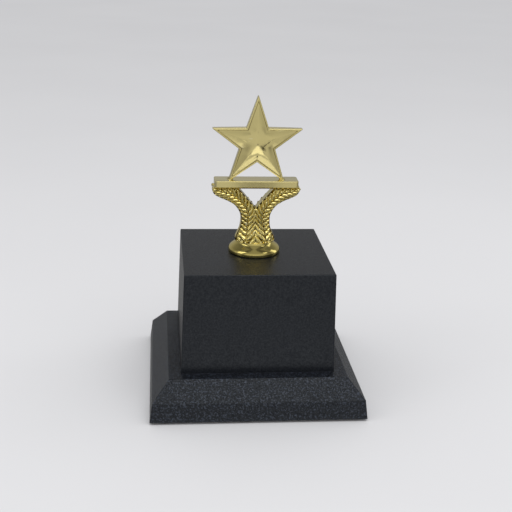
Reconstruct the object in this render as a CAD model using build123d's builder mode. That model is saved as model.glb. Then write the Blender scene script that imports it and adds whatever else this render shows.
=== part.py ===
from build123d import *
import os
from math import atan, atan2, cos, degrees, pi, sin

# A small star trophy: a hollow two-step plastic base with a metallised plastic figure bolted on top.
# Millimetres, +Z up, the front faces -Y. The origin is the centre of the face that it rests on.

# ---------------------------------------------------------------- driving dimensions

# Heights, from the table up; together they make the whole height of 130
felt_thickness = 1.0
plinth_band_height = 8.0
plinth_bevel_height = 8.0
block_height = 44.0
figure_height = 69.0

# Plinth and block widths (both are square)
plinth_bottom_width = 92.0
plinth_band_top_width = 90.0
shelf_width = 76.0
block_bottom_width = 65.6
block_top_width = 63.5
edge_radius = 0.5

# Walls of the two hollow mouldings
wall = 2.5
roof = 3.0
rib_thickness = 1.8
clearance = 0.1

# Figure
collar_radius = 11.4
collar_height = 5.6
skirt_half_width = 8.8
skirt_half_depth = 7.6
waist_half_width = 6.3
laurel_half_depth = 3.75
laurel_half_span = 19.3
notch_height = 19.8
bar_length = 36.2
bar_depth = 9.0
bar_thickness = 3.3
platform_height = 32.6  # top of the bar above the block
star_radius = 20.4
star_waist = 0.395  # inner corners' distance from the middle, as a share of the tips'
star_rim_depth = 2.3
star_facet_rise = 1.1

# M5 hardware
rod_radius = 2.5
nut_across_flats = 8.0
nut_height = 4.0
thin_nut_height = 2.7
washer_thickness = 1.0
washer_radius = 7.5
lock_washer_thickness = 1.2
lock_washer_radius = 4.6
ballast_width = 60.4
ballast_thickness = 4.5
board_thickness = 1.5

# ---------------------------------------------------------------- levels and fits worked out from them

plinth_bottom_z = felt_thickness
bevel_z = plinth_bottom_z + plinth_band_height
shelf_z = bevel_z + plinth_bevel_height
block_top_z = shelf_z + block_height
collar_top_z = block_top_z + collar_height
tip_z = block_top_z + figure_height
star_centre_z = tip_z - star_radius
star_tip_angle = atan2(star_waist * sin(pi / 5), 1 - star_waist * cos(pi / 5))  # half of a point's angle
star_side_distance = star_radius * sin(star_tip_angle)
lower_tip_x = star_radius * sin(pi / 5)
bar_top_z = block_top_z + platform_height
bar_bottom_z = bar_top_z - bar_thickness
bore_radius = rod_radius + 0.25
nut_bore_radius = rod_radius + 0.02
register_height = 2.0
register_z = shelf_z + register_height
collar_floor = 1.6
figure_nut_z = block_top_z + collar_floor
figure_nut_top_z = figure_nut_z + thin_nut_height
plinth_roof_z = shelf_z - wall
board_top_z = plinth_bottom_z + board_thickness
rod_bottom_z = board_top_z + 0.5
rod_top_z = figure_nut_top_z + 2.0
rod_washer_z = plinth_roof_z - ballast_thickness - washer_thickness
lock_washer_z = rod_washer_z - lock_washer_thickness
rod_nut_z = lock_washer_z - nut_height

# Each half of the figure is drawn on the middle plane, looking at it from its own side
front_side = Plane(origin=(0, 0, 0), x_dir=(1, 0, 0), z_dir=(0, -1, 0))
back_side = Plane(origin=(0, 0, 0), x_dir=(-1, 0, 0), z_dir=(0, 1, 0))


def side_slope(lower_width, upper_width, height):
    """Degrees that a wall leans in when a square narrows from one width to another."""
    return degrees(atan((lower_width - upper_width) / 2 / height))


def finish(part, name):
    """Name a finished piece and write its STEP file."""
    part.label = name
    export_step(part, f"parts/{name}.step")


os.makedirs("parts", exist_ok=True)

# ---------------------------------------------------------------- base

felt_width = 84.0
felt_corner_cut = 4.0

with BuildPart() as felt_pad:
    with BuildSketch() as felt_outline:
        Rectangle(felt_width, felt_width)
        chamfer(felt_outline.vertices(), length=felt_corner_cut)
    extrude(amount=felt_thickness)
finish(felt_pad.part, "felt_pad")

lip = 1.7  # wall left around the closing board
board_opening = plinth_bottom_width - 2 * lip

with BuildPart() as bottom_board:
    with BuildSketch(Plane.XY.offset(plinth_bottom_z)):
        Rectangle(board_opening - 2 * clearance, board_opening - 2 * clearance)
    extrude(amount=board_thickness)
finish(bottom_board.part, "bottom_board")

band_slope = side_slope(plinth_bottom_width, plinth_band_top_width, plinth_band_height)
bevel_slope = side_slope(plinth_band_top_width, shelf_width, plinth_bevel_height)
cavity_width = plinth_bottom_width - 2 * wall
cavity_bend_width = plinth_band_top_width - 2 * wall
cavity_bend_z = bevel_z - 0.8
register_width = block_bottom_width - 2 * wall - 4 * clearance
ballast_pocket_width = ballast_width + 4 * clearance
ballast_fence_width = ballast_pocket_width + 2 * rib_thickness

with BuildPart() as plinth_shell:
    with BuildSketch(Plane.XY.offset(plinth_bottom_z)):
        Rectangle(plinth_bottom_width, plinth_bottom_width)
    extrude(amount=plinth_band_height, taper=band_slope)
    with BuildSketch(Plane.XY.offset(bevel_z)):
        Rectangle(plinth_band_top_width, plinth_band_top_width)
    extrude(amount=plinth_bevel_height, taper=bevel_slope)
    outer_edges = plinth_shell.edges() - plinth_shell.edges().group_by(Axis.Z)[0]
    fillet(outer_edges, radius=edge_radius)
    # Square register that the block drops over
    with BuildSketch(Plane.XY.offset(shelf_z)):
        Rectangle(register_width, register_width)
    extrude(amount=register_height)
    # Hollow underneath: the board's rebate, the straight part, then the part under the bevel
    with BuildSketch(Plane.XY.offset(plinth_bottom_z)):
        Rectangle(board_opening, board_opening)
    extrude(amount=board_thickness, mode=Mode.SUBTRACT)
    with BuildSketch(Plane.XY.offset(plinth_bottom_z)):
        Rectangle(cavity_width, cavity_width)
    extrude(
        amount=cavity_bend_z - plinth_bottom_z,
        taper=side_slope(cavity_width, cavity_bend_width, cavity_bend_z - plinth_bottom_z),
        mode=Mode.SUBTRACT,
    )
    with BuildSketch(Plane.XY.offset(cavity_bend_z)):
        Rectangle(cavity_bend_width, cavity_bend_width)
    extrude(amount=plinth_roof_z - cavity_bend_z, taper=bevel_slope, mode=Mode.SUBTRACT)
    # Fence under the roof that keeps the ballast plate in the middle
    with BuildSketch(Plane.XY.offset(plinth_roof_z)):
        Rectangle(ballast_fence_width, ballast_fence_width)
        Rectangle(ballast_pocket_width, ballast_pocket_width, mode=Mode.SUBTRACT)
    extrude(amount=-ballast_thickness)
    with BuildSketch(Plane.XY.offset(plinth_roof_z)):
        Circle(bore_radius)
    extrude(amount=register_z - plinth_roof_z, mode=Mode.SUBTRACT)
finish(plinth_shell.part, "plinth_shell")

block_slope = side_slope(block_bottom_width, block_top_width, block_height)
block_inner_width = block_bottom_width - 2 * wall
block_roof_z = block_top_z - roof
tube_radius = 6.0
rib_height = 30.0

with BuildPart() as block_shell:
    with BuildSketch(Plane.XY.offset(shelf_z)):
        Rectangle(block_bottom_width, block_bottom_width)
    extrude(amount=block_height, taper=block_slope)
    fillet(block_shell.edges().group_by(Axis.Z)[1], radius=edge_radius)
    fillet(block_shell.edges().group_by(Axis.Z)[-1], radius=edge_radius)
    with BuildSketch(Plane.XY.offset(shelf_z)):
        Rectangle(block_inner_width, block_inner_width)
    extrude(amount=block_roof_z - shelf_z, taper=block_slope, mode=Mode.SUBTRACT)
    # Four ribs from the walls to the tube, hanging from the roof
    with BuildSketch(Plane.XY.offset(block_roof_z)):
        Rectangle(block_top_width - 2 * wall, rib_thickness)
        Rectangle(rib_thickness, block_top_width - 2 * wall)
    extrude(amount=-rib_height)
    # The tube takes the pull of the rod from the roof down to the plinth
    with BuildSketch(Plane.XY.offset(register_z)):
        Circle(tube_radius)
    extrude(amount=block_roof_z - register_z)
    with BuildSketch(Plane.XY.offset(register_z)):
        Circle(bore_radius)
    extrude(amount=block_top_z - register_z, mode=Mode.SUBTRACT)
finish(block_shell.part, "block_shell")

ballast_chamfer = 3.0

with BuildPart() as ballast_plate:
    with BuildSketch(Plane.XY.offset(plinth_roof_z)) as ballast_outline:
        Rectangle(ballast_width, ballast_width)
        chamfer(ballast_outline.vertices(), length=ballast_chamfer)
        Circle(bore_radius, mode=Mode.SUBTRACT)
    extrude(amount=-ballast_thickness)
finish(ballast_plate.part, "ballast_plate")

# ---------------------------------------------------------------- hardware

rod_chamfer = 0.6

with BuildPart() as tie_rod:
    with BuildSketch(Plane.XY.offset(rod_bottom_z)):
        Circle(rod_radius)
    extrude(amount=rod_top_z - rod_bottom_z)
    chamfer(tie_rod.edges().filter_by(GeomType.CIRCLE), length=rod_chamfer)
finish(tie_rod.part, "tie_rod")


def make_hex_nut(name, bottom_z, height):
    """A plain hexagon nut with its corners turned down at both ends."""
    corner_radius = nut_across_flats / 2 / cos(pi / 6)
    turned = corner_radius - nut_across_flats / 2
    drop = turned / 2
    with BuildPart() as nut:
        with BuildSketch(Plane.XY.offset(bottom_z)):
            RegularPolygon(corner_radius, 6)
            Circle(nut_bore_radius, mode=Mode.SUBTRACT)
        extrude(amount=height)
        with BuildSketch(Plane.XZ):
            for end_z, inward in ((bottom_z, drop), (bottom_z + height, -drop)):
                with BuildLine():
                    Polyline(
                        (corner_radius - turned, end_z),
                        (corner_radius + turned, end_z),
                        (corner_radius + turned, end_z + 2 * inward),
                        close=True,
                    )
                make_face()
        revolve(axis=Axis.Z, mode=Mode.SUBTRACT)
    finish(nut.part, name)


make_hex_nut("rod_nut", rod_nut_z, nut_height)
make_hex_nut("figure_nut", figure_nut_z, thin_nut_height)

with BuildPart() as rod_washer:
    with BuildSketch(Plane.XY.offset(rod_washer_z)):
        Circle(washer_radius)
        Circle(bore_radius, mode=Mode.SUBTRACT)
    extrude(amount=washer_thickness)
finish(rod_washer.part, "rod_washer")

lock_washer_slit = 0.8

with BuildPart() as lock_washer:
    with BuildSketch(Plane.XY.offset(lock_washer_z)):
        Circle(lock_washer_radius)
        Circle(bore_radius, mode=Mode.SUBTRACT)
        with Locations((lock_washer_radius / 2, 0)):
            Rectangle(lock_washer_radius, lock_washer_slit, mode=Mode.SUBTRACT)
    extrude(amount=lock_washer_thickness)
finish(lock_washer.part, "lock_washer")

# ---------------------------------------------------------------- figure: foot

collar_foot_radius = collar_radius - 0.4
collar_belly = (collar_radius, block_top_z + 1.4)
collar_shoulder_radius = skirt_half_width
pocket_radius = (nut_across_flats / 2 + clearance) / cos(pi / 6)

with BuildPart() as foot_collar:
    with BuildSketch(Plane.XZ):
        with BuildLine():
            TangentArc(collar_belly, (collar_foot_radius, block_top_z), tangent=(0, -1))
            Polyline(
                collar_belly,
                (collar_shoulder_radius, collar_top_z),
                (0, collar_top_z),
                (0, block_top_z),
                (collar_foot_radius, block_top_z),
            )
        make_face()
    revolve(axis=Axis.Z)
    # Six-sided pocket, open at the top, with a floor that the nut pulls on
    with BuildSketch(Plane.XY.offset(collar_top_z)):
        RegularPolygon(pocket_radius, 6)
    extrude(amount=figure_nut_z - collar_top_z, mode=Mode.SUBTRACT)
    with BuildSketch(Plane.XY.offset(block_top_z)):
        Circle(bore_radius)
    extrude(amount=collar_floor, mode=Mode.SUBTRACT)
finish(foot_collar.part, "foot_collar")

# ---------------------------------------------------------------- figure: laurel stem

skirt_height = 9.0
pin_radius = 0.9
pin_length = 1.6
peg_radius = 1.0
peg_height = 1.3
peg_x = 15.5
peg_y = 2.0
laurel_pin_places = ((0, block_top_z + 15.5), (-10.5, block_top_z + 26.0), (10.5, block_top_z + 26.0))
rod_room_radius = rod_radius + 0.7
rod_room_height = rod_top_z - figure_nut_top_z + 0.5
notch_bow = 0.3


# Front view of the stem: hollow flanks, two branches and the V between them
flank = [
    (skirt_half_width, collar_top_z),
    (waist_half_width, block_top_z + 15.0),
    (9.6, block_top_z + 21.4),
    (laurel_half_span, bar_bottom_z - 1.4),
]
notch_top_x = 7.9
notch_bottom = (0, block_top_z + notch_height)

with BuildSketch() as laurel_outline:
    with BuildLine():
        Spline(*flank)
        Polyline(flank[-1], (laurel_half_span, bar_bottom_z), (notch_top_x, bar_bottom_z))
        SagittaArc((notch_top_x, bar_bottom_z), notch_bottom, notch_bow)
        Polyline(notch_bottom, (0, collar_top_z), flank[0])
    make_face()
    mirror(about=Plane.YZ)


def make_laurel_half(name, side, has_pins):
    """Half of the stem, split on the middle plane; the front one carries the dowel pins."""
    with BuildPart() as half:
        # Round skirt at the foot
        with BuildSketch(Plane.XY.offset(collar_top_z)):
            Ellipse(skirt_half_width, skirt_half_depth)
        with BuildSketch(Plane.XY.offset(collar_top_z + skirt_height)):
            Ellipse(waist_half_width, laurel_half_depth)
        loft()
        # Six-sided plug that drops into the collar's pocket and traps the nut
        with BuildSketch(Plane.XY.offset(collar_top_z)):
            RegularPolygon(pocket_radius - clearance, 6)
        extrude(amount=figure_nut_top_z - collar_top_z)
        split(bisect_by=side, keep=Keep.TOP)
        with BuildSketch(side):
            add(laurel_outline.sketch)
        extrude(amount=laurel_half_depth)
        # Room for the end of the rod
        with BuildSketch(Plane.XY.offset(figure_nut_top_z)):
            Circle(rod_room_radius)
        extrude(amount=rod_room_height, mode=Mode.SUBTRACT)
        with BuildSketch(Plane.XY.offset(bar_bottom_z)):
            with Locations((peg_x, peg_y * side.z_dir.Y), (-peg_x, peg_y * side.z_dir.Y)):
                Circle(peg_radius)
        extrude(amount=peg_height)
        with BuildSketch(side):
            with Locations(*laurel_pin_places):
                Circle(pin_radius if has_pins else pin_radius + clearance)
        if has_pins:
            extrude(amount=-pin_length)
        else:
            extrude(amount=pin_length + clearance, mode=Mode.SUBTRACT)
    finish(half.part, name)


make_laurel_half("laurel_front_half", front_side, True)
make_laurel_half("laurel_back_half", back_side, False)

# ---------------------------------------------------------------- figure: platform

tab_x = lower_tip_x - 0.6
tab_width = 2.4
tab_half_depth = 1.5
bar_corner_radius = 1.0
bar_edge_radius = 0.25
bar_bevel = 0.7

with BuildPart() as platform_bar:
    with BuildSketch(Plane.XY.offset(bar_bottom_z)):
        RectangleRounded(bar_length, bar_depth, bar_corner_radius)
    extrude(amount=bar_thickness)
    fillet(platform_bar.edges().group_by(Axis.Z)[-1], radius=bar_edge_radius)
    chamfer(platform_bar.edges().group_by(Axis.Z)[0], length=bar_bevel)
    # Two slots for the star's tabs, and blind holes for the pegs of the branches
    with BuildSketch(Plane.XY.offset(bar_bottom_z)):
        with Locations((tab_x, 0), (-tab_x, 0)):
            Rectangle(tab_width + 2 * clearance, 2 * (tab_half_depth + clearance))
    extrude(amount=bar_thickness, mode=Mode.SUBTRACT)
    with BuildSketch(Plane.XY.offset(bar_bottom_z)):
        with GridLocations(2 * peg_x, 2 * peg_y, 2, 2):
            Circle(peg_radius + clearance)
    extrude(amount=peg_height + clearance, mode=Mode.SUBTRACT)
finish(platform_bar.part, "platform_bar")

# ---------------------------------------------------------------- figure: star

star_rim_width = 0.75
star_groove_depth = 0.3
star_groove_width = 0.3
star_cavity_inset = 2.0
star_wall = 1.4
star_seat_gap = 0.05  # under the cut lower points
star_pin_distance = 9.0
star_pin_length = 1.2
star_boss_radius = 1.7
star_boss_height = 1.5
tab_top_z = bar_top_z + 1.5


def star_points(inset):
    """Corners of the five-pointed star, its sides moved in by an inset, which only shrinks it."""
    tip = star_radius * (1 - inset / star_side_distance)
    points = []
    for i in range(10):
        distance = tip * star_waist if i % 2 else tip
        angle = pi / 2 + i * pi / 5
        points.append((distance * cos(angle), distance * sin(angle)))
    return points


def make_star_half(name, side, has_pins):
    """Half of the star: a hollow shell with a raised rim around ten sloping facets."""
    middle = Plane(origin=(0, 0, star_centre_z), x_dir=side.x_dir, z_dir=side.z_dir)
    facet_foot = middle.offset(star_rim_depth - star_groove_depth)
    apex_height = star_rim_depth + star_facet_rise
    apex = middle.origin + middle.z_dir * apex_height
    cavity_apex = middle.origin + middle.z_dir * (apex_height - star_wall)
    with BuildPart() as half:
        with BuildSketch(middle):
            Polygon(*star_points(0), align=None)
        extrude(amount=star_rim_depth)
        with BuildSketch(facet_foot):
            Polygon(*star_points(star_rim_width), align=None)
        extrude(amount=star_groove_depth, mode=Mode.SUBTRACT)
        with BuildSketch(facet_foot, mode=Mode.PRIVATE) as facet_outline:
            Polygon(*star_points(star_rim_width + star_groove_width), align=None)
        loft(sections=[facet_outline.sketch.face(), Vertex(*apex)], ruled=True)
        # The hollow follows the facets
        with BuildSketch(middle, mode=Mode.PRIVATE) as cavity_outline:
            Polygon(*star_points(star_cavity_inset), align=None)
        loft(sections=[cavity_outline.sketch.face(), Vertex(*cavity_apex)], ruled=True, mode=Mode.SUBTRACT)
        # A boss in each arm, with a dowel pin on the front half and its socket on the back half
        with BuildSketch(middle):
            with PolarLocations(star_pin_distance, 5, start_angle=90):
                Circle(star_boss_radius)
        extrude(amount=star_boss_height)
        with BuildSketch(middle):
            with PolarLocations(star_pin_distance, 5, start_angle=90):
                Circle(pin_radius if has_pins else pin_radius + clearance)
        if has_pins:
            extrude(amount=-star_pin_length)
        else:
            extrude(amount=star_pin_length + clearance, mode=Mode.SUBTRACT)
        # The lower points are cut off level where they stand on the platform
        with BuildSketch(Plane.XY.offset(bar_top_z + star_seat_gap)):
            Rectangle(2 * star_radius, bar_depth)
        extrude(amount=-star_radius, mode=Mode.SUBTRACT)
        # Tabs that stand in the platform's slots
        with BuildSketch(Plane.XY.offset(bar_bottom_z)):
            with Locations(
                (tab_x, side.z_dir.Y * tab_half_depth / 2),
                (-tab_x, side.z_dir.Y * tab_half_depth / 2),
            ):
                Rectangle(tab_width, tab_half_depth)
        extrude(amount=tab_top_z - bar_bottom_z)
    finish(half.part, name)


make_star_half("star_front_half", front_side, True)
make_star_half("star_back_half", back_side, False)
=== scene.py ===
import math

import bmesh
import bpy
from mathutils import Matrix, Vector


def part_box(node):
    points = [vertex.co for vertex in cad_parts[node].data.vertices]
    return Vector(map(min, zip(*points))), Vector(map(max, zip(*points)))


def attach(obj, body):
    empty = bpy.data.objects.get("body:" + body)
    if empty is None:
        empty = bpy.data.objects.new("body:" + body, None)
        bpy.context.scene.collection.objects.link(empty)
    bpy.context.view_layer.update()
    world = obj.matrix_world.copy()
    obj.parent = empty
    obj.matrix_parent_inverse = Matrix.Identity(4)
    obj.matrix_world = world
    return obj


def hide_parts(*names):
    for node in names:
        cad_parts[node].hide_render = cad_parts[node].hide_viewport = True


# Star trophy: the looks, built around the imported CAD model. Metres, +Z up, the front faces -Y.

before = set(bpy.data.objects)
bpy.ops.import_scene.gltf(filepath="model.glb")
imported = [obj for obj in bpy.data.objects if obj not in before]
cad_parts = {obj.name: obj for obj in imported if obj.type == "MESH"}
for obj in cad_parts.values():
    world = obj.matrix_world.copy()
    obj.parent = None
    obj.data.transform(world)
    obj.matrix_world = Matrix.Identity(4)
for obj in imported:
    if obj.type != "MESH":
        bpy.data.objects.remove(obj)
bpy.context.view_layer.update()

MM = 0.001
FRONT = Vector((0, -1, 0))

# ---------------------------------------------------------------- sizes taken from the frame

collar_low, collar_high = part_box("foot_collar")
bar_low, bar_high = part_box("platform_bar")
star_low, star_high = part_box("star_front_half")
block_low, block_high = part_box("block_shell")

collar_radius = collar_high.x
collar_height = collar_high.z - collar_low.z
star_radius = star_high.x / math.cos(math.pi / 10)
star_centre_z = star_high.z - star_radius


# ---------------------------------------------------------------- mesh helpers

def link_object(name, data):
    """A new object in the scene."""
    thing = bpy.data.objects.new(name, data)
    bpy.context.scene.collection.objects.link(thing)
    return thing


def shade(mesh, sharp_angle):
    """Smooth faces, with the edges kept sharp that turn by more than an angle in degrees."""
    mesh.shade_smooth()
    mesh.set_sharp_from_angle(angle=math.radians(sharp_angle))


def make_object(name, bm, sharp_angle=35.0):
    """Turn a bmesh into an object in the scene."""
    bmesh.ops.recalc_face_normals(bm, faces=bm.faces)
    mesh = bpy.data.meshes.new(name)
    bm.to_mesh(mesh)
    bm.free()
    shade(mesh, sharp_angle)
    return link_object(name, mesh)


def add_ring(bm, points):
    return [bm.verts.new(p) for p in points]


def bridge(bm, ring_a, ring_b):
    """Quads between two closed rings that have the same number of points."""
    count = len(ring_a)
    for i in range(count):
        j = (i + 1) % count
        bm.faces.new((ring_a[i], ring_a[j], ring_b[j], ring_b[i]))


def closed_skin(bm, outlines):
    """Quads between outlines that have the same number of points, and a cap at each end."""
    rings = [add_ring(bm, outline) for outline in outlines]
    bm.faces.new(rings[0])
    for a, b in zip(rings, rings[1:]):
        bridge(bm, a, b)
    bm.faces.new(rings[-1])


def close_to_point(bm, ring, point):
    """A fan of triangles from a ring to one point."""
    centre = bm.verts.new(point)
    for i in range(len(ring)):
        bm.faces.new((ring[i], ring[(i + 1) % len(ring)], centre))


def circle(steps):
    """(cosine, sine) at equal steps around a circle."""
    angles = [2 * math.pi * i / steps for i in range(steps)]
    return [(math.cos(angle), math.sin(angle)) for angle in angles]


def mirrored_copy(piece, name):
    """The same mesh mirrored through the middle plane, for the back half."""
    mesh = piece.data.copy()
    mesh.name = name
    mesh.transform(Matrix.Scale(-1, 4, Vector((0, 1, 0))))
    mesh.flip_normals()
    return link_object(name, mesh)


def smoothstep(low, high, value):
    """0 up to a low value, 1 from a high one, and a smooth step between them."""
    t = min(1.0, max(0.0, (value - low) / (high - low)))
    return t * t * (3 - 2 * t)


def catmull(points, steps):
    """A smooth curve through the points, as a list of Vectors."""
    pts = [Vector(p) for p in points]
    pts = [2 * pts[0] - pts[1]] + pts + [2 * pts[-1] - pts[-2]]
    curve = []
    for i in range(1, len(pts) - 2):
        a, b, c, d = pts[i - 1 : i + 3]
        for k in range(steps):
            t = k / steps
            curve.append(
                0.5 * (2 * b + (c - a) * t + (2 * a - 5 * b + 4 * c - d) * t * t
                       + (3 * b - a - 3 * c + d) * t ** 3)
            )
    curve.append(pts[-2])
    return curve


# ---------------------------------------------------------------- star

STAR_WAIST = 0.395  # inner corners' distance from the middle, as a share of the tips'
STAR_TIP_CUT = 0.45 * MM  # how far from its point a corner's rounding starts
STAR_INNER_CUT = 0.35 * MM
STAR_CORNER_STEPS = 5
STAR_EDGE_STEPS = 9
STAR_SHARP_ANGLE = 24
STAR_BOW = 1.5  # 1/m: how fast the whole face falls back from the middle to the points

# The rim and the groove inside it
STAR_PARTING = 0.07 * MM  # chamfer along the joint of the two halves
STAR_RIM_DEPTH = 2.3 * MM
STAR_RIM_ROUND = 0.32 * MM
STAR_RIM_ROUND_STEPS = 6
STAR_GROOVE = 0.32 * MM
STAR_GROOVE_WALL = ((0.48, 0.0), (0.60, 0.02), (0.68, 0.08), (0.73, 0.17))  # mm: inset, drop below the rim
STAR_GROOVE_FLOOR = ((0.78, 0.0), (0.90, 0.02))  # mm: inset, drop below the groove's depth

# The facets, which start at the groove and swell up to a round dome
STAR_FACET_INSET = 1.05 * MM
STAR_FACET_RINGS = 36
STAR_FACET_SWELL = 0.22  # 0 would be straight from the foot to the top
STAR_TOP_BLUNTNESS = 0.10
STAR_LOBES_START = (2.5 * MM, 8.0 * MM)  # from the middle: where ridges and valleys begin, and are whole
STAR_CREASES_START = (4.0 * MM, 9.0 * MM)  # the same for their sharp creases
STAR_CREASED_FOOT = (0.65, 0.97)  # shares of the way out that do the same, for the short way in a valley

# The small foot under each lower point
STAR_FOOT_DEPTH = 0.95 * MM  # how far its middle is in front of the parting plane
STAR_FOOT_STEPS = 24
STAR_FOOT_PROFILE = (  # mm above the bar, half width in mm, half depth as a share of STAR_FOOT_DEPTH
    (-0.15, 1.40, 0.96),
    (0.05, 1.30, 0.93),
    (0.20, 1.14, 0.88),
    (0.45, 1.00, 0.84),
    (0.90, 0.87, 0.81),
    (1.40, 0.74, 0.78),
    (1.80, 0.45, 0.55),
)


def star_corners(inset):
    """The ten corners (x, z) of the star, its sides moved in by an inset, which only shrinks it."""
    tip_angle = math.atan2(STAR_WAIST * math.sin(math.pi / 5), 1 - STAR_WAIST * math.cos(math.pi / 5))
    tip = star_radius - inset / math.sin(tip_angle)
    corners = []
    for i in range(10):
        distance = tip * STAR_WAIST if i % 2 else tip
        angle = math.pi / 2 + i * math.pi / 5
        corners.append(Vector((distance * math.cos(angle), distance * math.sin(angle))))
    return corners


def star_ring(inset, depth):
    """The star's outline with rounded corners, as 3-D points at a depth in front of the middle plane."""
    corners = star_corners(inset)
    outline = []
    for i, corner in enumerate(corners):
        cut = STAR_INNER_CUT if i % 2 else STAR_TIP_CUT
        next_cut = STAR_TIP_CUT if i % 2 else STAR_INNER_CUT
        following = corners[(i + 1) % 10]
        to_last = (corners[i - 1] - corner).normalized()
        to_next = (following - corner).normalized()
        start = corner + to_last * cut
        end = corner + to_next * cut
        for k in range(STAR_CORNER_STEPS):
            t = k / (STAR_CORNER_STEPS - 1)
            outline.append((1 - t) ** 2 * start + 2 * t * (1 - t) * corner + t * t * end)
        edge_end = following - to_next * next_cut
        for k in range(1, STAR_EDGE_STEPS):
            outline.append(end.lerp(edge_end, k / STAR_EDGE_STEPS))
    share = depth / STAR_RIM_DEPTH
    return [
        Vector((p.x, share * STAR_BOW * p.length_squared - depth, star_centre_z + p.y)) for p in outline
    ]


def star_rise(share_out, distance, turn):
    """How much of their rise the facets have reached: 0 at their foot, 1 in the middle.

    The ridges and valleys, which repeat every fifth of a turn, fade into a round dome towards the middle.
    """
    tip_reach = star_corners(STAR_FACET_INSET)[0].length
    ridge_slope = 1 / tip_reach
    valley_slope = 1 / (tip_reach * STAR_WAIST)
    lobes = smoothstep(*STAR_LOBES_START, distance) * math.cos(5 * turn)
    rounded = distance * ((ridge_slope + valley_slope) / 2 - (valley_slope - ridge_slope) / 2 * lobes)
    creased = max(smoothstep(*STAR_CREASES_START, distance), smoothstep(*STAR_CREASED_FOOT, share_out))
    fall = rounded + (share_out - rounded) * creased
    blunt = math.hypot(fall, STAR_TOP_BLUNTNESS) - STAR_TOP_BLUNTNESS
    blunt /= math.hypot(1, STAR_TOP_BLUNTNESS) - STAR_TOP_BLUNTNESS
    return 1 - (1 - STAR_FACET_SWELL) * blunt - STAR_FACET_SWELL * blunt * blunt


def star_rim_profile():
    """(inset, depth) from the parting plane over the rounded rim and through the groove."""
    profile = [(STAR_PARTING, 0.0), (0.0, STAR_PARTING)]
    for k in range(STAR_RIM_ROUND_STEPS):
        angle = math.pi / 2 * k / (STAR_RIM_ROUND_STEPS - 1)
        inset = STAR_RIM_ROUND * (1 - math.cos(angle))
        profile.append((inset, STAR_RIM_DEPTH - STAR_RIM_ROUND * (1 - math.sin(angle))))
    for inset, drop in STAR_GROOVE_WALL:
        profile.append((inset * MM, STAR_RIM_DEPTH - drop * MM))
    for inset, drop in STAR_GROOVE_FLOOR:
        profile.append((inset * MM, STAR_RIM_DEPTH - STAR_GROOVE - drop * MM))
    profile.append((STAR_FACET_INSET, STAR_RIM_DEPTH - STAR_GROOVE))
    return profile


def add_facets(bm, foot_ring):
    """The swollen facets, from the ring at their foot to the top in the middle."""
    centre = Vector((0, 0, star_centre_z))
    flat_foot = star_ring(STAR_FACET_INSET, 0)
    foot_depth = STAR_RIM_DEPTH - STAR_GROOVE
    top_depth = -star_low.y
    last = foot_ring
    for k in range(1, STAR_FACET_RINGS):
        share_out = 1 - k / STAR_FACET_RINGS
        points = []
        for p in flat_foot:
            out = (p - centre) * share_out
            rise = star_rise(share_out, out.length, math.atan2(out.x, out.z))
            bow = STAR_BOW * out.length_squared * foot_depth / STAR_RIM_DEPTH
            depth = foot_depth + (top_depth - foot_depth) * rise - bow
            points.append(centre + out + FRONT * depth)
        ring = add_ring(bm, points)
        bridge(bm, last, ring)
        last = ring
    close_to_point(bm, last, centre + FRONT * top_depth)


def make_star_half():
    """A raised rim with a fine groove inside it, the facets, and a foot under each lower point."""
    bm = bmesh.new()
    rings = [add_ring(bm, star_ring(inset, depth)) for inset, depth in star_rim_profile()]
    for a, b in zip(rings, rings[1:]):
        bridge(bm, a, b)
    close_to_point(bm, rings[0], Vector((0, 0, star_centre_z)))
    add_facets(bm, rings[-1])
    for side in (-1, 1):
        add_star_foot(bm, side)
    return make_object("star_front", bm, sharp_angle=STAR_SHARP_ANGLE)


def add_star_foot(bm, side):
    """A small spreading foot that joins a lower point of the star to the platform."""
    tip_x = star_radius * math.sin(math.pi / 5)
    outlines = []
    for height, half_width, half_depth in STAR_FOOT_PROFILE:
        lean = (0.55 + 0.85 * max(0, height)) * MM  # its middle follows the point's slant inwards
        centre_x = side * (tip_x - lean)
        outlines.append([
            Vector((
                centre_x + half_width * MM * across,
                -STAR_FOOT_DEPTH * (1 + half_depth * forward),
                bar_high.z + height * MM,
            ))
            for across, forward in circle(STAR_FOOT_STEPS)
        ])
    closed_skin(bm, outlines)


# ---------------------------------------------------------------- laurel stem

CURVE_SAMPLES = 160
STEM_SHARP_ANGLE = 32
STEM_FRONT = 3.55 * MM  # depth of a branch's crest in front of the middle plane
STEM_ROUNDING = 1.25 * MM  # how much less deep its edges are
BEHIND_MIDDLE = 0.4 * MM  # how far parts reach past the middle plane before they are cut to it

# The skirt, where both branches spread into a round foot; heights in mm above the block
SKIRT_SWELL = 3.5 * MM  # extra depth at the foot
SKIRT_FADE = 10.0  # height over which that is lost
SKIRT_TO_BRANCH = (8.5, 14.5)  # where the round section begins to turn into a branch's, and has done so
BEAD_COUNT = 11
BEAD_RADIUS = 0.5 * MM
BEAD_RING = (8.15 * MM, 6.75 * MM)  # half width and depth of the row of beads
BEAD_HEIGHT = 5.5

# The leaves
LEAF_PITCH = 2.05 * MM
LEAF_WIDTHS = (1.1 * MM, 1.95 * MM)  # narrowest and widest
LEAF_WIDTH_SHARE = 0.43  # of half the branch's width, within those limits
LOWER_LEAF_LENGTH = 2.7 * MM
UPPER_LEAF_LENGTH = 2.45 * MM
UPPER_LEAF_LEVEL = 0.22 * MM  # how much higher the upper leaves lie
LEAF_THICKNESS = 0.5 * MM
LEAF_LIFT = 0.32 * MM  # how far a leaf's tip stands off the stem
LEAF_BED = 1.1 * MM  # how far the plain body lies under the leaves' level
LEAF_STEPS = (9, 4)  # along the leaf, and from its midrib to an edge
VEIN_DEPTH = 0.34  # share of the leaf's thickness
VEIN_WIDTH = 0.17  # share of the leaf's half width
BERRY_RADIUS = 0.42 * MM

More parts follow.
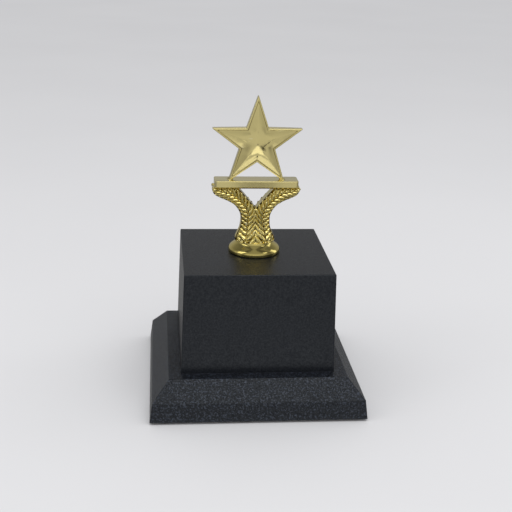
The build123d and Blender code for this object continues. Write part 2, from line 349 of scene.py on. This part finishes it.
# The smooth strip between the branches: mm above the block, and half width in mm
STRIP_PROFILE = (
    (5.3, 1.25), (6.5, 1.20), (8.0, 0.95), (10.0, 0.62), (12.0, 0.42), (14.0, 0.40), (17.0, 0.42),
    (18.7, 0.45), (19.8, 0.30),
)
STRIP_STEPS = 12

# The stem's ends, in mm above the block
stem_top = (bar_low.z - collar_low.z) / MM
stem_foot = 4.9


def at(x_mm, height_mm):
    """A point (x, z) of the stem's front view: millimetres from the axis and above the block."""
    return Vector((x_mm * MM, collar_low.z + height_mm * MM))


def even_steps(curve, count):
    """Points at equal steps along a curve."""
    travelled = [0.0]
    for a, b in zip(curve, curve[1:]):
        travelled.append(travelled[-1] + (b - a).length)
    points = []
    k = 0
    for i in range(count):
        wanted = travelled[-1] * i / (count - 1)
        while k < len(curve) - 2 and travelled[k + 1] < wanted:
            k += 1
        share = (wanted - travelled[k]) / (travelled[k + 1] - travelled[k])
        points.append(curve[k].lerp(curve[k + 1], share))
    return points


# Right branch: its outer edge, and its inner edge up the middle, the wall of the V and the platform
stem_outer = even_steps(
    catmull(
        [at(7.9, stem_foot), at(8.6, 6.2), at(7.8, 8.5), at(6.6, 11.3), at(6.2, 15.0), at(6.8, 18.2),
         at(9.1, 21.5), at(12.2, 23.4), at(15.2, 24.7), at(17.8, 26.1), at(18.8, 27.8), at(18.8, stem_top)],
        10,
    ),
    CURVE_SAMPLES,
)
stem_inner = even_steps(
    [at(-0.15, stem_foot)]
    + catmull([at(-0.15, 19.7), at(1.3, 21.6), at(3.8, 24.6), at(7.9, stem_top)], 8)
    + [at(18.6, stem_top)],
    CURVE_SAMPLES,
)
stem_length = sum(
    ((b + d) / 2 - (a + c) / 2).length
    for a, b, c, d in zip(stem_outer, stem_outer[1:], stem_inner, stem_inner[1:])
)


def on_curve(curve, share):
    """The point at a share (0 to 1) of a curve's length."""
    place = min(max(share, 0.0), 1.0) * (CURVE_SAMPLES - 1)
    k = min(int(place), CURVE_SAMPLES - 2)
    return curve[k].lerp(curve[k + 1], place - k)


def stem_place(share, across, sink=0.0):
    """A point of the right branch's face.

    The share is of its length, from the foot; across runs from -1 on the inside to 1 on the outside.
    """
    inner = on_curve(stem_inner, share)
    outer = on_curve(stem_outer, share)
    spot = inner.lerp(outer, (1 + across) / 2)
    height = (spot.y - collar_low.z) / MM
    up = min(1.0, max(0.0, (height - stem_foot) / SKIRT_FADE))
    skirt_depth = STEM_FRONT + SKIRT_SWELL * (1 - up) ** 1.7
    thinnest = 0.3  # share of the skirt's depth that is left at its outer edge
    rounded = skirt_depth * math.sqrt(max(thinnest ** 2, 1 - ((1 + across) / 2) ** 2))
    domed = STEM_FRONT - STEM_ROUNDING * across * across
    depth = rounded + (domed - rounded) * smoothstep(*SKIRT_TO_BRANCH, height) - sink
    return Vector((spot.x, -depth, spot.y))


def half_branch_width(share):
    """Half the distance between the branch's edges."""
    return (on_curve(stem_outer, share) - on_curve(stem_inner, share)).length / 2


def leaf(base, along, out, length, width):
    """A closed laurel leaf: pointed, with a sunk midrib, its tip lifted off the stem."""
    bm = bmesh.new()
    side = along.cross(out).normalized()
    steps_u, steps_v = LEAF_STEPS
    top_rows, low_rows = [], []
    for i in range(1, steps_u):
        u = i / steps_u
        half = width / 2 * math.sin(math.pi * u ** 0.85) ** 0.7  # widest a little before the middle
        body = LEAF_THICKNESS * math.sin(math.pi * min(1, u * 0.9 + 0.08)) ** 0.5
        rise = LEAF_LIFT * u * (1.4 - 0.4 * u)
        upper, lower = [], []
        for j in range(-steps_v, steps_v + 1):
            v = j / steps_v
            crown = 1 - abs(v) ** 1.7
            vein = VEIN_DEPTH * math.exp(-(v / VEIN_WIDTH) ** 2) * (1 - 0.5 * u)
            bed = LEAF_BED * (1 - v * v) * (1 - 0.45 * u)
            place = base + along * (length * u) + side * (v * half)
            upper.append(bm.verts.new(place + out * (rise + body * (crown - vein))))
            if abs(j) < steps_v:
                lower.append(bm.verts.new(place + out * (rise - bed)))
        top_rows.append(upper)
        low_rows.append([upper[0]] + lower + [upper[-1]])
    heel = bm.verts.new(base - out * (0.4 * LEAF_THICKNESS))
    tip = bm.verts.new(base + along * length + out * LEAF_LIFT)
    for rows in (top_rows, low_rows):
        for a, b in zip(rows, rows[1:]):
            for j in range(len(a) - 1):
                bm.faces.new((a[j], a[j + 1], b[j + 1], b[j]))
        for row, point in ((rows[0], heel), (rows[-1], tip)):
            for j in range(len(row) - 1):
                bm.faces.new((row[j], row[j + 1], point))
    bmesh.ops.recalc_face_normals(bm, faces=bm.faces)
    return bm


def branch_leaf(share, across_from, across_to, advance, width, level):
    """A leaf on the right branch that runs forward along it and sideways across it."""
    step = 0.01
    base = stem_place(share, across_from)
    tip = stem_place(share + advance / stem_length, across_to)
    along = stem_place(share + step, across_from) - stem_place(share - step, across_from)
    sideways = stem_place(share, across_from + step) - stem_place(share, across_from - step)
    out = along.cross(sideways).normalized()
    if out.y > 0:
        out = -out
    base += out * level
    tip += out * level
    run = (tip - base).normalized()
    out = (out - run * out.dot(run)).normalized()
    return leaf(base, run, out, (tip - base).length, width)


def branch_leaves():
    """Four rows of leaves and a few berries up the right branch."""
    parts = []
    count = int(stem_length / LEAF_PITCH)
    half_step = 0.5 / count
    narrowest, widest = LEAF_WIDTHS
    for i in range(count):
        share = (i + 0.15) / count
        width = min(widest, max(narrowest, LEAF_WIDTH_SHARE * half_branch_width(share)))
        above_notch = smoothstep(0.42, 0.62, share)  # the branches part at about half their length
        reach_out = 0.90 + 0.02 * above_notch
        reach_in = 1.05 - 0.20 * above_notch
        for place, across_from, across_to in ((share, 0.36, reach_out), (share, -0.36, -reach_in)):
            parts.append(branch_leaf(place, across_from, across_to, LOWER_LEAF_LENGTH, width, 0.0))
        for side in (1, -1):
            parts.append(branch_leaf(
                share + half_step, 0.05 * side, 0.60 * side, UPPER_LEAF_LENGTH, width, UPPER_LEAF_LEVEL))
        if i % 2 and share < 0.9:
            for across in (-0.70, 0.70):
                parts.append(berry(stem_place(share + half_step, across), BERRY_RADIUS))
    return parts


def berry(centre, radius):
    """A small ball."""
    bm = bmesh.new()
    bmesh.ops.create_icosphere(bm, subdivisions=2, radius=radius, matrix=Matrix.Translation(centre))
    return bm


def branch_body():
    """The plain body of the right branch that the leaves lie on, a little past the middle plane."""
    along_steps, across_steps = 60, 16
    outer_wall = ((0.75, 0.10), (0.45, 0.16), (0.12, 0.18))  # share of the edge's depth, bulge in mm
    outlines = []
    for i in range(along_steps + 1):
        share = i / along_steps
        points = []
        for j in range(across_steps + 1):
            across = -1 + 2 * j / across_steps
            points.append(stem_place(share, across, LEAF_BED * (1 - abs(across) ** 5)))
        outer_edge, inner_edge = points[-1], points[0]
        outward = outer_edge - inner_edge
        outward.y = 0
        outward.normalize()
        for depth_share, bulge in outer_wall:
            wall = outer_edge + outward * bulge * MM
            wall.y = outer_edge.y * depth_share
            points.append(wall)
        for edge in (outer_edge, inner_edge):
            points.append(Vector((edge.x, BEHIND_MIDDLE, edge.z)))
        outlines.append(points)
    bm = bmesh.new()
    closed_skin(bm, outlines)
    bmesh.ops.recalc_face_normals(bm, faces=bm.faces)
    return bm


def middle_strip():
    """The smooth strip between the branches: a narrow ridge that widens into a panel at the foot."""
    outlines = []
    for height, half_width in STRIP_PROFILE:
        share = (height - stem_foot) / (stem_length / MM) * 0.93  # the inner edge is longer than the middle
        face = stem_place(share, -1.0)
        proud = 0.35 * MM if height > 12 else 0.15 * MM
        points = []
        for i in range(STRIP_STEPS + 1):
            angle = math.pi * i / STRIP_STEPS
            points.append(Vector((
                -half_width * MM * math.cos(angle),
                face.y + (0.35 - 0.55 * math.sin(angle)) * MM - proud,
                collar_low.z + height * MM,
            )))
        for side in (1, -1):
            points.append(Vector((side * half_width * MM, BEHIND_MIDDLE, points[0].z)))
        outlines.append(points)
    bm = bmesh.new()
    closed_skin(bm, outlines)
    bmesh.ops.recalc_face_normals(bm, faces=bm.faces)
    return bm


def skirt_beads():
    """A row of small berries around the foot of the stem, front half."""
    beads = []
    for i in range(BEAD_COUNT):
        angle = math.pi * (i + 0.5) / BEAD_COUNT
        place = Vector((
            BEAD_RING[0] * math.cos(angle),
            -BEAD_RING[1] * math.sin(angle),
            collar_low.z + BEAD_HEIGHT * MM,
        ))
        beads.append(berry(place, BEAD_RADIUS))
    return beads


def mirror_x(bm):
    """The same closed part on the left branch."""
    twin = bm.copy()
    bmesh.ops.scale(twin, vec=Vector((-1, 1, 1)), verts=twin.verts)
    bmesh.ops.reverse_faces(twin, faces=twin.faces)
    return twin


def clip_box():
    """The room of the stem's front half: ahead of the middle plane, from the collar into the platform."""
    width = 60 * MM
    depth = 20 * MM
    low_z = collar_low.z + stem_foot * MM
    high_z = bar_low.z + 0.5 * MM
    bm = bmesh.new()
    bmesh.ops.create_cube(bm, size=1.0)
    for vert in bm.verts:
        vert.co.x *= width
        vert.co.y = -depth if vert.co.y < 0 else 0.0
        vert.co.z = low_z if vert.co.z < 0 else high_z
    return bm


def union_clipped(name, parts, room):
    """One closed mesh from overlapping closed parts, cut to the room given."""
    whole = make_object(name, parts[0])
    helpers = [make_object("part", part) for part in parts[1:]]
    room_object = make_object("room", room)
    pile = bpy.data.collections.new("pile")
    for helper in helpers:
        pile.objects.link(helper)
    joined = whole.modifiers.new("union", "BOOLEAN")
    joined.solver = "MANIFOLD"
    joined.operation = "UNION"
    joined.operand_type = "COLLECTION"
    joined.collection = pile
    cut = whole.modifiers.new("cut", "BOOLEAN")
    cut.solver = "MANIFOLD"
    cut.operation = "INTERSECT"
    cut.object = room_object
    bpy.context.view_layer.update()
    result = bpy.data.meshes.new_from_object(whole.evaluated_get(bpy.context.evaluated_depsgraph_get()))
    whole.modifiers.clear()
    whole.data = result
    for helper in helpers + [room_object]:
        bpy.data.objects.remove(helper)
    bpy.data.collections.remove(pile)
    shade(result, STEM_SHARP_ANGLE)
    return whole


def make_stem_half():
    """Both branches, the strip between them and the row of beads, as one closed mesh."""
    right = [branch_body()] + branch_leaves()
    left = [mirror_x(part) for part in right]
    return union_clipped("laurel_front", right + left + [middle_strip()] + skirt_beads(), clip_box())


# ---------------------------------------------------------------- foot collar and platform

def make_collar():
    """A round bead with a hollow shoulder, turned on the axis."""
    steps = 96
    r = collar_radius / MM
    h = collar_height / MM
    profile = catmull(
        [(r - 0.45, 0.0), (r - 0.10, 0.35), (r, 0.95), (r - 0.08, 1.7), (r - 0.50, 2.45), (r - 1.3, 3.2),
         (r - 2.3, 4.0), (r - 3.05, 4.8), (r - 3.25, h)],
        4,
    )
    bm = bmesh.new()
    closed_skin(bm, [
        [Vector((p.x * MM * x, p.x * MM * y, collar_low.z + p.y * MM)) for x, y in circle(steps)]
        for p in profile
    ])
    return make_object("collar", bm, sharp_angle=40)


def rounded_rectangle(half_x, half_y, corner, inset, corner_steps, z):
    """The outline of a rectangle with round corners, moved in by an inset."""
    radius = corner - inset
    outline = []
    for quarter, (side_x, side_y) in enumerate(((1, 1), (-1, 1), (-1, -1), (1, -1))):
        for k in range(corner_steps):
            angle = math.pi / 2 * (quarter + k / (corner_steps - 1))
            outline.append(Vector((
                side_x * (half_x - corner) + radius * math.cos(angle),
                side_y * (half_y - corner) + radius * math.sin(angle),
                z,
            )))
    return outline


def make_platform():
    """A flat bar: bevelled below, with a plain face and a softly rounded top edge."""
    corner = 1.0 * MM
    bevel = 0.70 * MM
    top_round = 0.25 * MM
    steps = 6
    height = bar_high.z - bar_low.z
    profile = [  # (inset, height) from the underside up; the bevel's two edges are eased
        (bevel, 0.0),
        (0.62 * MM, 0.05 * MM),
        (0.06 * MM, 0.62 * MM),
        (0.0, bevel),
        (0.0, 0.85 * MM),
        (0.0, height - top_round - 0.1 * MM),
    ]
    for k in range(steps):
        angle = math.pi / 2 * k / (steps - 1)
        profile.append((top_round * (1 - math.cos(angle)), height - top_round * (1 - math.sin(angle))))
    bm = bmesh.new()
    closed_skin(bm, [
        rounded_rectangle(bar_high.x, bar_high.y, corner, inset, steps, bar_low.z + z)
        for inset, z in profile
    ])
    return make_object("platform", bm, sharp_angle=28)


# ---------------------------------------------------------------- materials

# Colours are linear RGBA
PALE_GOLD = ((0.84, 0.72, 0.31, 1), (0.82, 0.71, 0.33, 1))
# A deeper, more saturated copy of the same gold: painted inter-reflected light for the laurel and collar
GOLD_WITH_PAINTED_INTERREFLECTION = ((0.81, 0.67, 0.21, 1), (0.77, 0.64, 0.22, 1))
# Painted highlight: paler gold mixed onto the gold's convex edges
GOLD_PAINTED_EDGE_HIGHLIGHT = (0.88, 0.79, 0.42, 1)
# Painted shade: dark gold mixed into recesses, grooves and the gaps between leaves, for each of the two
# golds
PALE_GOLD_PAINTED_SHADE = (0.16, 0.12, 0.035, 1)
SATURATED_GOLD_PAINTED_SHADE = (0.09, 0.06, 0.012, 1)
BLACK_PLASTIC = ((0.0042, 0.0052, 0.0078, 1), (0.0062, 0.0074, 0.0104, 1))
# Painted glint: lighter specks mixed into the plastic's colour
PLASTIC_PAINTED_GLINT = (0.060, 0.072, 0.098, 1)
# Painted highlight: lighter grey mixed along the plastic's rounded edges
PLASTIC_PAINTED_EDGE_HIGHLIGHT = (0.030, 0.032, 0.036, 1)
PLASTIC_SHINE_TINT = (0.90, 0.95, 1.0, 1)
ZINC = ((0.50, 0.51, 0.54, 1), (0.64, 0.65, 0.67, 1))
FELT = ((0.012, 0.014, 0.013, 1), (0.045, 0.048, 0.046, 1))
FIBRE_BOARD = ((0.20, 0.14, 0.09, 1), (0.36, 0.27, 0.18, 1))
FLOOR = ((0.60, 0.60, 0.61, 1), (0.64, 0.64, 0.65, 1))

# Sockets of a Mix node in colour mode, whose names are used more than once
MIX_FACTOR, MIX_A, MIX_B, MIX_RESULT = 0, 6, 7, 2


def feed(tree, socket, value):
    """Link a socket to another node's output, or give it a plain value."""
    if isinstance(value, bpy.types.NodeSocket):
        tree.links.new(value, socket)
    else:
        socket.default_value = value


def new_material(name):
    """A new material and its node tree, which has a Principled shader."""
    material = bpy.data.materials.new(name)
    material.use_nodes = True
    return material, material.node_tree


def surface(tree, inputs):
    """Give the material's Principled shader its inputs."""
    shader = tree.nodes["Principled BSDF"]
    for key, value in inputs.items():
        feed(tree, shader.inputs[key], value)


def add(tree, kind, inputs=None, **settings):
    """A new node with its settings, and with inputs given by name or number."""
    node = tree.nodes.new(kind)
    for key, value in settings.items():
        setattr(node, key, value)
    for key, value in (inputs or {}).items():
        feed(tree, node.inputs[key], value)
    return node


def object_mm(tree):
    """Object coordinates in millimetres."""
    place = add(tree, "ShaderNodeTexCoord").outputs["Object"]
    return add(tree, "ShaderNodeVectorMath", {0: place, "Scale": 1 / MM}, operation="SCALE").outputs[0]


def noise(tree, vector, scale, detail, roughness=0.5):
    inputs = {"Vector": vector, "Scale": scale, "Detail": detail, "Roughness": roughness}
    return add(tree, "ShaderNodeTexNoise", inputs).outputs["Fac"]


def remap(tree, value, span, onto=(0.0, 1.0)):
    """Stretch a span of values onto another one, and hold what lies outside at its ends."""
    inputs = {"Value": value, "From Min": span[0], "From Max": span[1], "To Min": onto[0], "To Max": onto[1]}
    return add(tree, "ShaderNodeMapRange", inputs).outputs["Result"]


def mix_colour(tree, factor, a, b, blend="MIX"):
    inputs = {MIX_FACTOR: factor, MIX_A: a, MIX_B: b}
    return add(tree, "ShaderNodeMix", inputs, data_type="RGBA", blend_type=blend).outputs[MIX_RESULT]


def dot_product(tree, a, b):
    return add(tree, "ShaderNodeVectorMath", {0: a, 1: b}, operation="DOT_PRODUCT").outputs["Value"]


def bump(tree, height, strength, distance_mm, under=None):
    """A bumped normal, over another one if it is given."""
    inputs = {"Height": height, "Strength": strength, "Distance": distance_mm * MM}
    if under is not None:
        inputs["Normal"] = under
    return add(tree, "ShaderNodeBump", inputs).outputs["Normal"]


def curvature_mask(tree, low, high):
    """Bright on the convex edges of a finely divided mesh, or in its recesses when low is above high."""
    pointiness = add(tree, "ShaderNodeNewGeometry").outputs["Pointiness"]
    return remap(tree, pointiness, (low, high))


def rounded_edge_mask(tree, radius_mm):
    """Bright along the edges of a coarse mesh: where a bevelled normal leaves the true one."""
    true_normal = add(tree, "ShaderNodeNewGeometry").outputs["Normal"]
    rounded = add(tree, "ShaderNodeBevel", {"Radius": radius_mm * MM}, samples=4).outputs["Normal"]
    return remap(tree, dot_product(tree, true_normal, rounded), (0.99, 0.80))


def gold_material(name, tones, recess):
    """Vacuum-metallised plastic: lemon gold, with a faint lacquer haze and orange peel; a highlight painted
    as paler gold on convex edges, and shade painted as dark gold in recesses.
    """
    material, tree = new_material(name)
    vector = object_mm(tree)
    colour = mix_colour(tree, noise(tree, vector, scale=0.12, detail=2.0), *tones)
    # painted highlight: paler gold on the convex edges
    colour = mix_colour(tree, curvature_mask(tree, low=0.52, high=0.60), colour, GOLD_PAINTED_EDGE_HIGHLIGHT)
    # painted shade: dark gold in the recesses, grooves and gaps between leaves
    colour = mix_colour(tree, curvature_mask(tree, low=0.495, high=0.455), colour, recess)
    haze = noise(tree, vector, scale=1.6, detail=4.0, roughness=0.6)
    peel = bump(tree, noise(tree, vector, scale=0.8, detail=2.0), strength=0.10, distance_mm=0.10)
    grain = noise(tree, vector, scale=5.0, detail=3.0)
    surface(tree, {
        "Base Color": colour,
        "Metallic": 1.0,
        "Roughness": remap(tree, haze, (0.3, 0.7), (0.09, 0.17)),
        "Normal": bump(tree, grain, strength=0.04, distance_mm=0.03, under=peel),
    })
    return material


def black_plastic_material(name, grain, painted_glint_amount):
    """Black moulded plastic with a fine spark-eroded grain; the glints in it are lighter specks painted into
    the colour, and a highlight is painted along the edges.
    """
    material, tree = new_material(name)
    vector = object_mm(tree)
    stipple = noise(tree, vector, scale=1.3, detail=3.0, roughness=0.6)
    speck = noise(tree, vector, scale=2.8, detail=2.0)
    painted_glint_pattern = noise(tree, vector, scale=1.5, detail=1.0)
    colour = mix_colour(tree, noise(tree, vector, scale=0.035, detail=3.0), *BLACK_PLASTIC)
    # painted glint: lighter specks mixed into the colour
    colour = mix_colour(tree, remap(tree, painted_glint_pattern, (0.54, 0.64), (0.0, painted_glint_amount)), colour, PLASTIC_PAINTED_GLINT)
    # painted highlight: lighter grey along the rounded edges
    colour = mix_colour(tree, rounded_edge_mask(tree, radius_mm=0.6), colour, PLASTIC_PAINTED_EDGE_HIGHLIGHT)
    coarse = bump(tree, stipple, strength=0.55 * grain, distance_mm=0.22)
    surface(tree, {
        "Base Color": colour,
        "Roughness": remap(tree, speck, (0.35, 0.7), (0.26, 0.44)),
        "Specular IOR Level": remap(tree, stipple, (0.35, 0.68), (0.28, 0.55)),
        "Specular Tint": PLASTIC_SHINE_TINT,
        "Normal": bump(tree, speck, strength=0.35 * grain, distance_mm=0.09, under=coarse),
    })
    return material


def steel_material():
    """Dull zinc plate with fine turning marks."""
    material, tree = new_material("zinc_plated_steel")
    vector = object_mm(tree)
    patch = noise(tree, vector, scale=0.5, detail=4.0)
    marks = noise(tree, vector, scale=8.0, detail=3.0)
    surface(tree, {
        "Base Color": mix_colour(tree, patch, *ZINC),
        "Metallic": 1.0,
        "Roughness": remap(tree, patch, (0.3, 0.7), (0.28, 0.45)),
        "Normal": bump(tree, marks, strength=0.15, distance_mm=0.05),
    })
    return material


def felt_material():
    """Pressed black felt: short tangled fibres."""
    material, tree = new_material("pressed_felt")
    fibre = noise(tree, object_mm(tree), scale=3.0, detail=6.0, roughness=0.75)
    surface(tree, {
        "Base Color": mix_colour(tree, fibre, *FELT),
        "Roughness": 0.95,
        "Sheen Weight": 0.35,
        "Normal": bump(tree, fibre, strength=0.8, distance_mm=0.25),
    })
    return material


def board_material():
    """Brown fibre board with pressed flecks."""
    material, tree = new_material("fibre_board")
    fleck = noise(tree, object_mm(tree), scale=1.2, detail=6.0, roughness=0.7)
    surface(tree, {
        "Base Color": mix_colour(tree, fleck, *FIBRE_BOARD),
        "Roughness": 0.8,
        "Normal": bump(tree, fleck, strength=0.4, distance_mm=0.12),
    })
    return material


def floor_material():
    """Pale and matt, with faint broad patches and no shine, so that the horizon doesn't show."""
    material, tree = new_material("pale_floor")
    patch = noise(tree, object_mm(tree), scale=0.004, detail=3.0)
    surface(tree, {
        "Base Color": mix_colour(tree, patch, *FLOOR),
        "Roughness": 0.9,
        "Specular IOR Level": 0.0,
    })
    return material


def dress(piece, material):
    piece.data.materials.clear()
    piece.data.materials.append(material)


# ---------------------------------------------------------------- the object

pale_gold = gold_material("pale_metallised_gold", PALE_GOLD, PALE_GOLD_PAINTED_SHADE)
# painted inter-reflection: the same gold made deeper and more saturated, for the laurel and collar
interreflection_painted_gold = gold_material("metallised_gold_painted_interreflection", GOLD_WITH_PAINTED_INTERREFLECTION, SATURATED_GOLD_PAINTED_SHADE)
steel = steel_material()

for node, material in (
    # painted glint: strong on the plinth, faint on the block
    ("plinth_shell", black_plastic_material("coarse_grained_black_plastic", grain=2.8, painted_glint_amount=0.55)),
    ("block_shell", black_plastic_material("fine_grained_black_plastic", grain=0.6, painted_glint_amount=0.03)),
    ("felt_pad", felt_material()),
    ("bottom_board", board_material()),
    ("ballast_plate", steel),
    ("tie_rod", steel),
    ("rod_nut", steel),
    ("lock_washer", steel),
    ("rod_washer", steel),
    ("figure_nut", steel),
):
    dress(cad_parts[node], material)

star_front = make_star_half()
star_back = mirrored_copy(star_front, "star_back")
stem_front = make_stem_half()
stem_back = mirrored_copy(stem_front, "laurel_back")
collar = make_collar()

for piece, node, material in (
    (star_front, "star_front_half", pale_gold),
    (star_back, "star_back_half", pale_gold),
    (stem_front, "laurel_front_half", interreflection_painted_gold),
    (stem_back, "laurel_back_half", interreflection_painted_gold),
    (collar, "foot_collar", interreflection_painted_gold),
    (make_platform(), "platform_bar", pale_gold),
):
    dress(piece, material)
    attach(piece, "root")
    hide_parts(node)

# ---------------------------------------------------------------- floor, light and camera

# What mirror-like surfaces see of the room, as grey levels
ROOM_AROUND = (  # share of the half turn from the front (0) to the back (1), level
    (0.0, 0.58), (0.20, 0.54), (0.29, 0.24), (0.42, 0.14),
    (0.51, 0.46), (0.60, 0.24), (0.8, 0.33), (1.0, 0.40),
)
ROOM_UPWARD = (  # height: 0 straight down, 0.5 level, 1 straight up; then a factor on the level
    (0.0, 0.90), (0.50, 1.0), (0.66, 1.0), (0.78, 0.65), (0.92, 0.52), (1.0, 0.52),
)
ROOM_CARDS = (  # degrees: azimuth, elevation, radius that is whole, radius where it ends; then the level
    (-30, -18, 4, 22, 0.34),  # dim left side
    (160, -8, 10, 22, 0.28),  # dim right back corner
    (-159, 3, 10, 22, 0.34),  # dim left back corner
    (6, -14, 4, 7, 0.32),  # the dark camera and its owner
    (6, -30, 8.5, 9.5, 1.15),  # pale cards on the table in front
    (-17, -49, 8, 9.5, 0.95),
    (33, -49, 8, 9.5, 0.95),
    (-62, 48, 7, 10, 1.3),  # soft boxes high on both sides
    (58, 44, 7, 10, 1.3),
    (20, -22, 3.2, 4.2, 0.02),  # a dark strap
    (25, -16.5, 2, 3, 0.02),
)
SOFT_SKY = (0.95, 0.95, 0.96, 1)  # what lights matt surfaces
BACKDROP = (0.575, 0.575, 0.585, 1)  # what the camera sees behind the floor

CAMERA_LENS = 69.47  # mm
CAMERA_YAW, CAMERA_PITCH, CAMERA_ROLL = 6.024, 19.115, 1.812  # degrees: right, down, right side up
CAMERA_PLACE = (-0.6689, -6.4927, 2.9138)  # from the block's foot, in widths of its top edge
BLOCK_TAPER = 2.1 * MM  # how much narrower the block is at its top edge than at its foot

scene = bpy.context.scene


def make_floor():
    """A wide round floor that the gold doesn't mirror."""
    bm = bmesh.new()
    bmesh.ops.create_circle(bm, cap_ends=True, segments=64, radius=6.0)
    floor = make_object("floor", bm)
    dress(floor, floor_material())
    floor.visible_glossy = False


def area_light(name, place, aim, size, power):
    """A rectangular lamp at a place, turned to its aim."""
    light = bpy.data.lights.new(name, "AREA")
    light.shape = "RECTANGLE"
    light.size, light.size_y = size
    light.energy = power
    lamp = link_object(name, light)
    lamp.location = place
    lamp.rotation_euler = (Vector(aim) - Vector(place)).to_track_quat("-Z", "Y").to_euler()
    lamp.visible_camera = False
    return lamp


def keep_off(lamp, piece):
    """The lamp lights everything but this piece, which would mirror it as a white patch."""
    spared = bpy.data.collections.new("spared_by_" + lamp.name)
    spared.objects.link(piece)
    spared.collection_objects[0].light_linking.link_state = "EXCLUDE"
    lamp.light_linking.receiver_collection = spared


def grey_ramp(tree, value, stops):
    """A grey ramp from (position, level) pairs."""
    node = add(tree, "ShaderNodeValToRGB", {"Fac": value})
    ramp = node.color_ramp
    while len(ramp.elements) < len(stops):
        ramp.elements.new(0.5)
    for element, (place, level) in zip(ramp.elements, stops):
        element.position = place
        element.color = (level, level, level, 1)
    return node.outputs["Color"]


def maths(tree, operation, *values):
    """One operation on one or two values, each a number or another node's output."""
    return add(tree, "ShaderNodeMath", dict(enumerate(values)), operation=operation).outputs[0]


def toward(tree, vector, azimuth, elevation, whole, end):
    """Bright in a round patch of the surroundings; degrees, with azimuth 0 towards -Y."""
    turn, rise = math.radians(azimuth), math.radians(elevation)
    middle = (math.sin(turn) * math.cos(rise), -math.cos(turn) * math.cos(rise), math.sin(rise))
    closeness = dot_product(tree, vector, middle)
    return remap(tree, closeness, (math.cos(math.radians(end)), math.cos(math.radians(whole))))


def mirrored_room(tree):
    """The colour of the room in the gold: a pale front and back, darker flanks, and cards and lamps."""
    direction = add(tree, "ShaderNodeTexCoord").outputs["Generated"]
    x, y, z = add(tree, "ShaderNodeSeparateXYZ", {0: direction}).outputs
    angle = maths(tree, "ABSOLUTE", maths(tree, "ARCTAN2", x, maths(tree, "MULTIPLY", y, -1.0)))
    around = grey_ramp(tree, maths(tree, "DIVIDE", angle, math.pi), ROOM_AROUND)
    upward = grey_ramp(tree, remap(tree, z, (-1.0, 1.0)), ROOM_UPWARD)
    colour = mix_colour(tree, 1.0, around, upward, blend="MULTIPLY")
    for azimuth, elevation, whole, end, grey in ROOM_CARDS:
        card = toward(tree, direction, azimuth, elevation, whole, end)
        colour = mix_colour(tree, card, colour, (grey, grey, grey, 1))
    return colour


def make_world():
    """A soft studio: even and pale to the camera and to matt surfaces, and a room to the gold."""
    world = bpy.data.worlds.new("studio")
    world.use_nodes = True
    tree = world.node_tree
    tree.nodes.clear()

    def background(colour):
        return add(tree, "ShaderNodeBackground", {"Color": colour}).outputs[0]

    def choose(ray, otherwise, result):
        return add(tree, "ShaderNodeMixShader", {0: ray, 1: otherwise, 2: result}).outputs[0]

    rays = add(tree, "ShaderNodeLightPath").outputs
    shader = choose(rays["Is Diffuse Ray"], background(mirrored_room(tree)), background(SOFT_SKY))
    shader = choose(rays["Is Camera Ray"], shader, background(BACKDROP))
    add(tree, "ShaderNodeOutputWorld", {"Surface": shader})
    world.cycles.sampling_method = "NONE"
    scene.world = world


def make_camera():
    """Above the trophy and a little left of its front, with the camera's right side slightly raised."""
    yaw, pitch, roll = (math.radians(a) for a in (CAMERA_YAW, CAMERA_PITCH, CAMERA_ROLL))
    forward = Vector((math.sin(yaw) * math.cos(pitch), math.cos(yaw) * math.cos(pitch), -math.sin(pitch)))
    right = Vector((math.cos(yaw), -math.sin(yaw), 0))
    up = right.cross(forward)
    tilted_right = math.cos(roll) * right + math.sin(roll) * up
    tilted_up = -math.sin(roll) * right + math.cos(roll) * up
    rotation = Matrix((tilted_right, tilted_up, -forward)).transposed().to_4x4()
    width = block_high.x * 2 - BLOCK_TAPER
    place = Vector(CAMERA_PLACE) * width + Vector((0, 0, block_low.z))
    camera = link_object("camera", bpy.data.cameras.new("camera"))
    camera.data.sensor_width = 36.0
    camera.data.lens = CAMERA_LENS
    camera.data.clip_start = 0.01
    camera.matrix_world = Matrix.Translation(place) @ rotation
    scene.camera = camera


make_floor()
make_world()
overhead = area_light("overhead", place=(0.10, -0.27, 0.80), aim=(0, 0, 0.05), size=(0.7, 0.6), power=2.2)
keep_off(overhead, collar)
area_light("right_strip", place=(0.65, 0.15, 0.30), aim=(0, 0, 0.08), size=(0.20, 0.60), power=0.4)
area_light("left_fill", place=(-0.60, -0.20, 0.40), aim=(0, 0, 0.09), size=(0.30, 0.45), power=0.5)
make_camera()
scene.view_settings.view_transform = "Standard"
